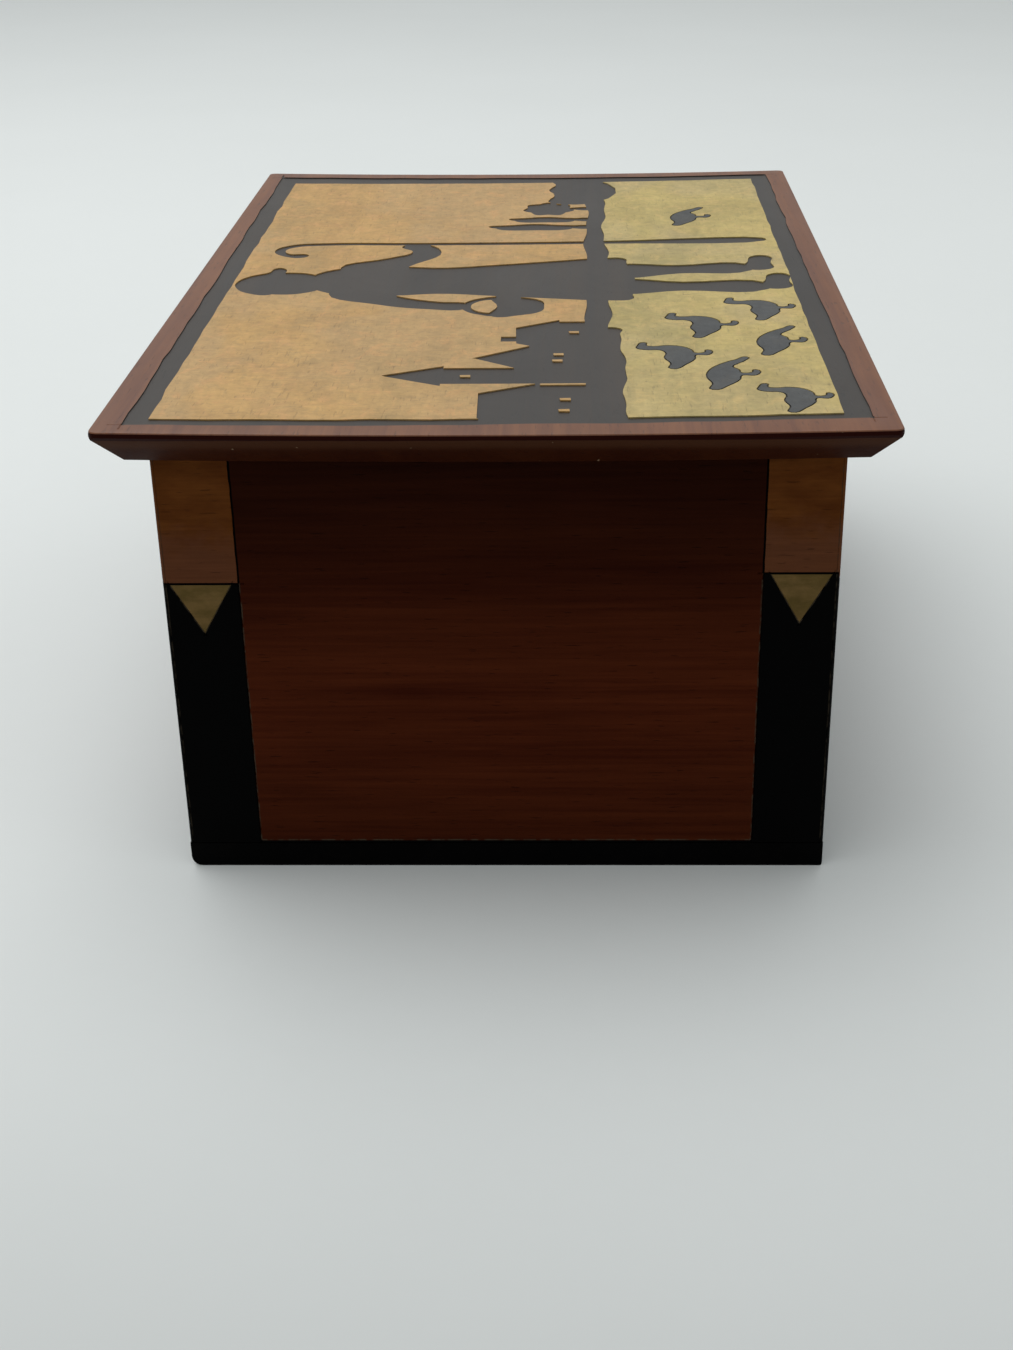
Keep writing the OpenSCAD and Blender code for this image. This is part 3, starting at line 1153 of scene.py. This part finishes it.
    def cuts(self) -> list[Outline]:
        """Fine lines incised in the dark shapes: folds, seams, eaves and the basket's weave."""
        lines = [house.eaves_line() for house in self.houses]
        for spread in (-13.0, -6.6, -0.6, 6.0, 12.4):
            fold = ((0.55, 11.0), (0.75, -6.0), (1.0, -24.0))
            lines.append([(111.6 + share * spread, v) for share, v in fold])
        for v in (17.2, 14.4):
            lines.append([(100.6, v), (107.0, v - 1.6), (116.0, v - 1.8), (123.4, v - 0.4)])
        lines += [
            [(103.0, 47.2), (108.0, 44.6), (113.6, 44.4), (117.6, 46.6)],
            [(99.4, 56.6), (106.0, 57.6), (114.0, 58.2), (119.4, 57.6)],
            [(111.4, 43.0), (112.4, 33.0), (111.6, 20.0)],
            [(115.6, 36.4), (121.0, 29.0), (126.4, 23.4)],
            [(107.6, 37.2), (102.4, 30.0), (99.4, 22.4)],
            [(141.2, 20.4), (141.9, 24.0), (141.0, 28.2)],
            [(86.4, 15.4), (89.4, 16.2), (92.4, 15.2)],
            [(81.8, 0.6), (88.8, -0.2), (95.8, 0.6)],
            [(82.8, -3.0), (88.8, -3.8), (94.8, -3.0)],
            [(33.0, 2.2), (36.4, 1.9), (40.0, 2.2)],
            [(30.8, -17.0), (30.9, -10.0), (30.8, -4.0)],
            [(198.0, -13.4), (208.0, -12.6), (219.0, -13.6)],
        ]
        return [ribbon(line, [0.10] + [0.42] * (len(line) - 2) + [0.10]) for line in lines]

    def lights(self) -> list[Outline]:
        """Small lit windows in the hamlet."""
        places = [(13.6, -14.0), (20.4, -14.2), (35.6, 6.2), (46.0, -12.4), (50.4, -12.6), (66.8, -15.8)]
        return [
            Outline([(u, v), (u + 0.1, v + 2.3), (u + 1.5, v + 2.5), (u + 1.6, v + 0.1)], smooth=False)
            for u, v in places
        ]

    def shapes(self) -> list[Outline]:
        """All the dark shapes inside the window."""
        return self.ground() + self.village() + self.trees() + self.herder() + self.geese()


# --------------------------------------------------------------------------
# The box's sub-assemblies


def dress(
    piece: bpy.types.Object, material: bpy.types.Material, body: str
) -> bpy.types.Object:
    """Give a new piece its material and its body.

    Args:
        piece: the piece.
        material: its material, put in its first slot if it has none.
        body: the body it moves with.

    Returns:
        The piece.
    """
    if not piece.data.materials:
        piece.data.materials.append(material)
    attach(piece, body)
    LOG.info("%s: %d faces, rides on %s", piece.name, len(piece.data.polygons), body)
    return piece


@dataclass
class Lid:
    """The bevelled lid with its stained picture."""

    cup: float = 0.75 * MM
    upright: float = 1.1 * MM
    groove_depth: float = 0.30 * MM
    groove_w: float = 0.34 * MM
    corner_r: float = 1.8 * MM
    edge_r: float = 0.45 * MM
    overrun: float = 2.6 * MM
    overrun_r: float = 0.22 * MM
    low_edge_r: float = 1.3 * MM
    strips: int = 16
    picture: Picture = field(default_factory=Picture)

    def __post_init__(self) -> None:
        """Read the lid's box from the frame."""
        self.low, self.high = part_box("lid_board")

    def bend(self, piece: bpy.types.Object) -> None:
        """Cup a piece of the lid, so that its long edges stand up a little."""
        half = self.high[0]
        thick = self.high[2] - self.low[2]
        Bench.slice(piece, [half * (2 * k / self.strips - 1) for k in range(1, self.strips)], Axis.X)
        for vertex in piece.data.vertices:
            bow = (vertex.co.x / half) ** 2
            share = (vertex.co.z - self.low[2]) / thick
            vertex.co.z += self.cup * (bow - share)

    def board(self) -> bpy.types.Object:
        """The wooden board, recessed for the picture."""
        piece = Bench.copy_node("lid_board", "lid_board_wood")
        top = self.high[2]
        shoulder = top - 1.5 * MM
        for vertex in piece.data.vertices:
            if abs(vertex.co.z - shoulder) < 0.05 * MM:
                vertex.co.z = top - self.upright
        half_x, half_y = self.high[0], self.high[1]

        block = Bench.block((-half_x, -half_y, self.low[2] - MM), (half_x, half_y, top + MM), "corners")
        Bench.bevel(block, self.corner_r, 5, lambda middle, line: abs(line.z) > 0.9)
        Bench.combine(piece, block, "INTERSECT")

        def at_rim(middle: Vector, line: Vector) -> bool:
            """True on the edges above and below the upright edge."""
            out = abs(middle.x) > half_x - 2 * MM or abs(middle.y) > half_y - 2 * MM
            return out and abs(line.z) < 0.2

        def at_foot(middle: Vector, line: Vector) -> bool:
            """True on the bevel's lower edges."""
            out = abs(middle.x) > half_x - 7 * MM or abs(middle.y) > half_y - 7 * MM
            return out and middle.z < self.low[2] + 0.1 * MM

        Bench.bevel(piece, self.low_edge_r, 3, at_foot)
        Bench.bevel(piece, self.edge_r, 2, at_rim)
        recess = Bench.prism(
            [self.picture.border()],
            top - self.groove_depth,
            top + 1.0 * MM,
            "recess",
        )
        Bench.combine(piece, recess, "DIFFERENCE")
        for start, end in self.overruns():
            Bench.combine(piece, Bench.bar(start, end, self.overrun_r), "DIFFERENCE")
        self.bend(piece)
        return piece

    def overruns(self) -> list[tuple[Vector, Vector]]:
        """The short ends of the frame's lines, which run on past its corners."""
        corners = [Vector((-v * MM, self.low[1] + u * MM, self.high[2])) for u, v in self.picture.edge]
        ends = []
        for i, corner in enumerate(corners):
            for other in (corners[i - 1], corners[(i + 1) % len(corners)]):
                way = (corner - other).normalized()
                ends.append((corner - way * self.overrun / 4, corner + way * self.overrun))
        return ends

    def plates(self) -> tuple[bpy.types.Object, bpy.types.Object, bpy.types.Object]:
        """The dark shapes, the sky and the meadow, as thin plates.

        The dark plate comes out with the geese alone: its larger part is lost
        among the booleans, and the floor of the recess shows in its place.
        """
        top = self.high[2]
        low = top - self.groove_depth * 0.94
        picture = self.picture
        ink = Bench.prism([picture.border()], low, top, "lid_picture_dark", -self.groove_w)
        hole = Bench.prism([picture.opening()], low - MM, top + MM, "hole")
        Bench.combine(ink, hole, "DIFFERENCE")
        for shape in picture.shapes():
            Bench.combine(ink, Bench.prism([shape], low, top, "shape"), "UNION")
        outer = Bench.prism([picture.border()], low - MM, top + MM, "outer", -self.groove_w)
        Bench.combine(ink, outer, "INTERSECT")
        for line in picture.cuts() + picture.lights():
            Bench.combine(ink, Bench.prism([line], low - MM, top + MM, "line"), "DIFFERENCE")
        fields = []
        for name, floor, roof in (
            ("lid_picture_sky", picture.horizon, 80.0),
            ("lid_picture_meadow", -80.0, picture.horizon),
        ):
            plate = Bench.prism([picture.opening()], low, top, name, -self.groove_w)
            half = Bench.prism(
                [Outline([(-5, floor), (-5, roof), (240, roof), (240, floor)], smooth=False)],
                low - MM,
                top + MM,
                "half",
            )
            Bench.combine(plate, half, "INTERSECT")
            for shape in picture.shapes():
                cutter = Bench.prism([shape], low - MM, top + MM, "cutter", self.groove_w)
                Bench.combine(plate, cutter, "DIFFERENCE")
            fields.append(plate)
        for window in picture.lights():
            pane = Bench.prism([window], low, top, "pane", -0.12 * MM)
            Bench.combine(fields[0], pane, "UNION")
        for plate in (ink, *fields):
            self.bend(plate)
        return ink, fields[0], fields[1]

    def build(self) -> None:
        """Make and dress the lid."""
        wood = Mahogany(
            "lid_mahogany", Grain(Axis.Y, 2.0), (0.210, 0.076, 0.024), (0.105, 0.028, 0.009)
        ).make()
        board = self.board()
        board.data.materials.append(wood)
        # Dark floor of the incised grooves and the recess: dirt, and painted shade for their depth.
        groove = Mahogany(
            "incised_line_dirt_and_shade", Grain(Axis.Y, 5.0), (0.030, 0.018, 0.010), (0.012, 0.008, 0.006)
        ).make()
        board.data.materials.append(groove)
        edge = LidEdge("lid_edge", Grain(Axis.Y, 4.0), self.high[2] - self.upright - self.cup).make()
        board.data.materials.append(edge)
        under = Mahogany(
            "lid_underside", Grain(Axis.Y, 6.0), (0.135, 0.050, 0.018), (0.072, 0.020, 0.007), 0.2, 0.5
        ).make()
        board.data.materials.append(under)
        for face in board.data.polygons:
            if face.normal.z < -0.95:
                face.material_index = 3
            elif face.normal.z < 0.3:
                face.material_index = 2
            middle = face.center
            inside = abs(middle.x) < self.high[0] - 4 * MM and abs(middle.y) < self.high[1] - 4 * MM
            # Faces sunk below the cupped top take the groove colour: dirt and painted shade.
            if inside and self.low[2] + 5 * MM < middle.z < self.high[2] - 0.12 * MM:
                level = self.high[2] - self.cup * (1 - (middle.x / self.high[0]) ** 2)
                if middle.z < level - 0.1 * MM:
                    face.material_index = 1
        Bench.smooth(board, 25)
        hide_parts("lid_board")
        dress(board, wood, "lid")
        ink, sky, meadow = self.plates()
        dark = Stain(
            "ink_stain", (0.046, 0.047, 0.045), (0.026, 0.027, 0.027), (0.014, 0.014, 0.013),
            (0.052, 0.047, 0.038), (0.036, 0.040, 0.044), Grain(Axis.Y, 7.0), rough=0.38, texture=0.9,
        ).make()
        tan = Stain(
            "sky_stain", (0.50, 0.290, 0.084), (0.415, 0.235, 0.066), (0.32, 0.205, 0.072),
            (0.56, 0.292, 0.100), (0.40, 0.265, 0.120), Grain(Axis.Y, 9.0), rough=0.42, texture=0.55,
        ).make()
        green = Stain(
            "meadow_stain", (0.50, 0.380, 0.118), (0.40, 0.300, 0.088), (0.29, 0.235, 0.082),
            (0.54, 0.375, 0.130), (0.40, 0.305, 0.150), Grain(Axis.Y, 13.0), rough=0.42, texture=0.55,
        ).make()
        for plate, material in ((ink, dark), (sky, tan), (meadow, green)):
            Bench.smooth(plate, 25)
            dress(plate, material, "lid")


@dataclass
class Wall:
    """One stained wall board."""

    node: str
    along: Axis
    side: int
    head_low: float
    head_high: float


@dataclass
class Carcass:
    """The four walls and the boards inside them."""

    post: float = 15.2 * MM
    triangle_w: float = 12.4 * MM
    triangle_h: float = 10.8 * MM
    arris_r: float = 0.9 * MM
    line_r: float = 0.26 * MM
    fine_r: float = 0.16 * MM
    arris_line: float = 0.75 * MM
    skin: float = 1.3 * MM
    walls: list[Wall] = field(
        default_factory=lambda: [
            Wall("left_end_board", Axis.X, -1, 65.4 * MM, 67.4 * MM),
            Wall("right_end_board", Axis.X, 1, 66.4 * MM, 66.0 * MM),
            Wall("front_board", Axis.Y, 1, 66.2 * MM, 66.6 * MM),
            Wall("back_board", Axis.Y, -1, 66.0 * MM, 66.4 * MM),
        ]
    )

    def envelope(self) -> bpy.types.Object:
        """The body's outer shape with its four upright corners rounded."""
        low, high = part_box("left_end_board")
        half_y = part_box("right_end_board")[1][1]
        block = Bench.block((low[0], -half_y, -0.01), (high[0], half_y, high[2] + 0.01), "envelope")
        Bench.bevel(block, self.arris_r, 3, lambda middle, line: abs(line.z) > 0.9)
        return block

    def lines(
        self, wall: Wall, half: float, face: float, low: float, high: float
    ) -> list[bpy.types.Object]:
        """The bars that cut a wall's incised lines.

        Args:
            wall: the wall.
            half: half its length.
            face: where its outer face lies along the other axis.
            low: its lower edge.
            high: its upper edge.

        Returns:
            The bars.
        """

        def spot(run: float, up: float) -> tuple[float, float, float]:
            """A point of the outer face, from its run and its height."""
            return (run, face, up) if wall.along is Axis.X else (face, run, up)

        bars = []
        over = 1.1 * MM
        for end in (-1, 1):
            level = wall.head_low if end < 0 else wall.head_high
            inner = end * (half - self.post)
            middle = end * (half - self.post / 2)
            tip = level - self.triangle_h
            bars.append(Bench.bar(spot(inner, low - MM), spot(inner, high + MM), self.line_r))
            bars.append(
                Bench.bar(spot(inner - end * over, level), spot(end * (half + MM), level), self.line_r)
            )
            for way in (-1, 1):
                edge = middle + way * self.triangle_w / 2
                reach = 1.06
                top = spot(middle + (edge - middle) * reach, tip + self.triangle_h * reach)
                foot = spot(middle - (edge - middle) * 0.05, tip - 0.5 * MM)
                bars.append(Bench.bar(foot, top, self.fine_r * 1.2))
            arris = end * (half - self.arris_line)
            bars.append(Bench.bar(spot(arris, low - MM), spot(arris, high + MM), self.fine_r))
        return bars

    def wall(self, wall: Wall) -> None:
        """Make and dress one wall."""
        low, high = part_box(wall.node)
        other = Axis.Y if wall.along is Axis.X else Axis.X
        half = high[wall.along.value]
        face = high[other.value] if wall.side > 0 else low[other.value]
        piece = Bench.copy_node(wall.node, wall.node + "_wood")
        Bench.combine(piece, self.envelope(), "INTERSECT")
        for bar in self.lines(wall, half, face, low[2], high[2]):
            Bench.combine(piece, bar, "DIFFERENCE")
        layout = WallLayout(
            wall.along, half, self.post, wall.head_low, wall.head_high,
            self.triangle_w, self.triangle_h, low[2] + 0.5 * MM, high[2],
        )
        seed = 3.0 + 2.0 * wall.along.value + wall.side
        material = WallStain(wall.node + "_stain", layout, Grain(wall.along, seed)).make()
        inside = Mahogany(
            wall.node + "_inside", Grain(wall.along, seed + 50), (0.135, 0.050, 0.018), (0.072, 0.020, 0.007),
            0.2, 0.5,
        ).make()
        piece.data.materials.append(material)
        piece.data.materials.append(inside)
        for part in piece.data.polygons:
            if abs(part.center[other.value] - face) > self.skin or part.normal.z > 0.9:
                part.material_index = 1
        Bench.smooth(piece, 25)
        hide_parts(wall.node)
        dress(piece, material, "carcass")

    def build(self) -> None:
        """Make the walls and the boards inside."""
        for wall in self.walls:
            self.wall(wall)
        pale = BareWood("pale_wood_long", Grain(Axis.Y, 21.0), (0.62, 0.44, 0.25), (0.44, 0.28, 0.14)).make()
        for node, width in (("false_floor", 0.3), ("front_lining", 0.35), ("lock_cap", 0.35)):
            plain_board(node, width * MM, pale, "carcass")
        beech = BareWood("beech_guides", Grain(Axis.Y, 31.0), (0.50, 0.30, 0.16), (0.36, 0.19, 0.09)).make()
        for node in ("upper_lock_guides", "lower_lock_guides"):
            plain_board(node, 0.3 * MM, beech, "carcass")


def plain_board(
    node: str, width: float, material: bpy.types.Material, body: str
) -> bpy.types.Object:
    """A CAD board with its sharp edges eased.

    Args:
        node: the CAD node.
        width: how far the edges are eased.
        material: its finish.
        body: the body it moves with.

    Returns:
        The new piece.
    """
    piece = Bench.copy_node(node, node + "_wood")
    Bench.bevel(piece, width, 2, lambda middle, line: True)
    Bench.smooth(piece, 25)
    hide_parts(node)
    return dress(piece, material, body)


@dataclass
class Base:
    """The sliding base board and its rails."""

    foot_r: float = 0.6 * MM
    worn_r: float = 2.3 * MM
    rim: float = 7.6 * MM

    def build(self, carcass: Carcass) -> None:
        """Make and dress the base."""
        # Near-zero black, darker than ebonised wood is: painted shade for the dim faces of the base band.
        ebony = Stain(
            "ebonised", (0.0012, 0.0011, 0.0012), (0.0008, 0.0008, 0.0008), (0.0006, 0.0006, 0.0006),
            (0.0020, 0.0017, 0.0014), (0.0010, 0.0010, 0.0010),
            Grain(Axis.Y, 17.0), rough=0.42, specular=0.02,
        ).make()
        piece = Bench.copy_node("base_board", "base_board_wood")
        low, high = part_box("base_board")
        block = Bench.block(low, (high[0], high[1], high[2] + MM), "foot_envelope")

        def at_worn(middle: Vector, line: Vector) -> bool:
            """True on the lower back edge, which is rubbed round."""
            return middle.x < -MM and middle.z < 0.1 * MM and abs(line.y) > 0.9

        def at_foot(middle: Vector, line: Vector) -> bool:
            """True on the lower front edge."""
            return middle.x > MM and middle.z < 0.1 * MM and abs(line.y) > 0.9

        Bench.bevel(block, self.worn_r, 5, at_worn)
        Bench.bevel(block, self.foot_r, 3, at_foot)
        Bench.bevel(block, carcass.arris_r, 3, lambda middle, line: abs(line.z) > 0.9)
        Bench.combine(piece, block, "INTERSECT")
        in_x, in_y = high[0] - self.rim, high[1] - self.rim
        Bench.slice(piece, (-in_x, in_x), Axis.X)
        Bench.slice(piece, (-in_y, in_y), Axis.Y)
        Bench.smooth(piece, 25)
        bare = BareWood("pale_base_top", Grain(Axis.Y, 19.0), (0.56, 0.39, 0.21), (0.40, 0.25, 0.12)).make()
        piece.data.materials.append(ebony)
        piece.data.materials.append(bare)
        under = BareWood(
            "base_underside", Grain(Axis.Y, 18.0), (0.085, 0.052, 0.030), (0.048, 0.027, 0.015)
        ).make()
        piece.data.materials.append(under)
        for face in piece.data.polygons:
            middle = face.center
            if face.normal.z > 0.9 and abs(middle.x) < in_x and abs(middle.y) < in_y:
                face.material_index = 1
            elif face.normal.z < -0.9:
                face.material_index = 2
        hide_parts("base_board")
        dress(piece, ebony, "base")
        beech = BareWood("beech_rails", Grain(Axis.Y, 37.0), (0.50, 0.30, 0.16), (0.36, 0.19, 0.09)).make()
        for node in ("front_base_rail", "back_base_rail"):
            plain_board(node, 0.25 * MM, beech, "base")


@dataclass
class Bolt:
    """The sliding bolt that locks the lid."""

    def build(self) -> None:
        """Make and dress the bolt."""
        long = BareWood("beech_beam", Grain(Axis.Y, 41.0), (0.50, 0.30, 0.16), (0.36, 0.19, 0.09)).make()
        tall = BareWood("beech_stem", Grain(Axis.Z, 43.0), (0.50, 0.30, 0.16), (0.36, 0.19, 0.09)).make()
        turned = BareWood("beech_peg", Grain(Axis.X, 47.0), (0.46, 0.26, 0.13), (0.32, 0.16, 0.07)).make()
        plain_board("lock_beam", 0.25 * MM, long, "bolt")
        plain_board("lock_stem", 0.25 * MM, tall, "bolt")
        plain_board("lock_peg", 0.2 * MM, turned, "bolt")


@dataclass
class Fittings:
    """The brass hinges, keeper, hook and screws."""

    nodes: tuple[str, ...] = (
        "left_hinge_body_leaf", "left_hinge_lid_leaf", "left_hinge_pin",
        "right_hinge_body_leaf", "right_hinge_lid_leaf", "right_hinge_pin",
        "hinge_body_screws", "hinge_lid_screws", "lid_keeper", "keeper_screws",
        "lock_hook", "rail_screws",
    )

    def build(self) -> None:
        """Give every brass node its finish."""
        brass = Brass("old_brass").make()
        for name in self.nodes:
            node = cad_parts[name]
            node.data.materials.clear()
            node.data.materials.append(brass)
            LOG.info("%s: brass", name)


@dataclass
class Studio:
    """Floor, light and camera."""

    lens: float = 50.11
    pitch: float = 26.419
    yaw: float = 1.115
    roll: float = -0.591
    eye: tuple[float, float, float] = (15.7 * MM, -448.1 * MM, 214.2 * MM)
    sensor: float = 36.0
    shift_x: float = -0.030

    def floor(self) -> None:
        """The pale floor."""
        bpy.ops.object.select_all(action="DESELECT")
        bpy.ops.mesh.primitive_plane_add(size=60.0, location=(0.0, 0.0, 0.0))
        floor = Bench.settle(bpy.context.object, "studio_floor")
        floor.data.materials.append(Paper("floor_paper").make())

    def lamp(
        self, name: str, place: Sequence[float], aim: Sequence[float], size: float, power: float
    ) -> None:
        """A square soft light.

        Args:
            name: its name.
            place: where it hangs.
            aim: the point it faces.
            size: the length of its sides.
            power: its power in watts.
        """
        data = bpy.data.lights.new(name, "AREA")
        data.size = size
        data.energy = power
        lamp = bpy.data.objects.new(name, data)
        bpy.context.scene.collection.objects.link(lamp)
        lamp.location = place
        line = Vector(aim) - Vector(place)
        lamp.rotation_euler = line.to_track_quat("-Z", "Y").to_euler()

    def sky(self) -> None:
        """Soft surroundings, bright behind the box and dim in front of it."""
        world = bpy.data.worlds.new("studio_world")
        bpy.context.scene.world = world
        world.use_nodes = True
        tree = world.node_tree
        tree.nodes.clear()
        coords = tree.nodes.new("ShaderNodeTexCoord")
        split = tree.nodes.new("ShaderNodeSeparateXYZ")
        spread = tree.nodes.new("ShaderNodeMapRange")
        spread.interpolation_type = "SMOOTHSTEP"
        spread.inputs[1].default_value = -0.5
        spread.inputs[2].default_value = 0.7
        spread.inputs[3].default_value = 0.54
        spread.inputs[4].default_value = 0.64
        lift = tree.nodes.new("ShaderNodeMapRange")
        lift.interpolation_type = "SMOOTHSTEP"
        lift.inputs[1].default_value = 0.30
        lift.inputs[2].default_value = 0.50
        lift.inputs[3].default_value = 0.78
        lift.inputs[4].default_value = 1.0
        product = tree.nodes.new("ShaderNodeMath")
        product.operation = "MULTIPLY"
        back = tree.nodes.new("ShaderNodeBackground")
        back.inputs["Color"].default_value = (0.97, 1.0, 1.0, 1.0)
        out = tree.nodes.new("ShaderNodeOutputWorld")
        tree.links.new(coords.outputs["Generated"], split.inputs[0])
        tree.links.new(split.outputs["Y"], spread.inputs[0])
        tree.links.new(split.outputs["Z"], lift.inputs[0])
        tree.links.new(spread.outputs[0], product.inputs[0])
        tree.links.new(lift.outputs[0], product.inputs[1])
        tree.links.new(product.outputs[0], back.inputs["Strength"])
        tree.links.new(back.outputs[0], out.inputs["Surface"])

    def camera(self) -> None:
        """The camera, low before the left end and looking down on the lid."""
        data = bpy.data.cameras.new("camera")
        data.sensor_width = self.sensor
        data.lens = self.lens
        data.shift_x = self.shift_x
        data.clip_start = 0.01
        data.clip_end = 50.0
        camera = bpy.data.objects.new("camera", data)
        bpy.context.scene.collection.objects.link(camera)
        pitch, yaw, roll = (math.radians(a) for a in (self.pitch, self.yaw, self.roll))
        level = math.cos(pitch)
        ahead = Vector((-math.sin(yaw) * level, math.cos(yaw) * level, -math.sin(pitch)))
        right = Vector((math.cos(yaw), math.sin(yaw), 0.0))
        up = right.cross(ahead)
        right, up = (
            right * math.cos(roll) + up * math.sin(roll),
            up * math.cos(roll) - right * math.sin(roll),
        )
        turn = Matrix((right, up, -ahead)).transposed().to_4x4()
        camera.matrix_world = Matrix.Translation(self.eye) @ turn
        bpy.context.scene.camera = camera

    def build(self) -> None:
        """Set up the studio."""
        bpy.context.scene.view_settings.view_transform = "Standard"
        self.floor()
        self.sky()
        self.lamp("overhead", (-0.35, 0.28, 1.3), (0.0, 0.1, 0.0), 1.4, 12.6)
        self.camera()


def main() -> None:
    """Build the box and its studio."""
    logging.basicConfig(level=logging.INFO, format="%(message)s")
    Studio().build()
    carcass = Carcass()
    carcass.build()
    Base().build(carcass)
    Bolt().build()
    Lid().build()
    Fittings().build()


if __name__ == "__main__":
    main()
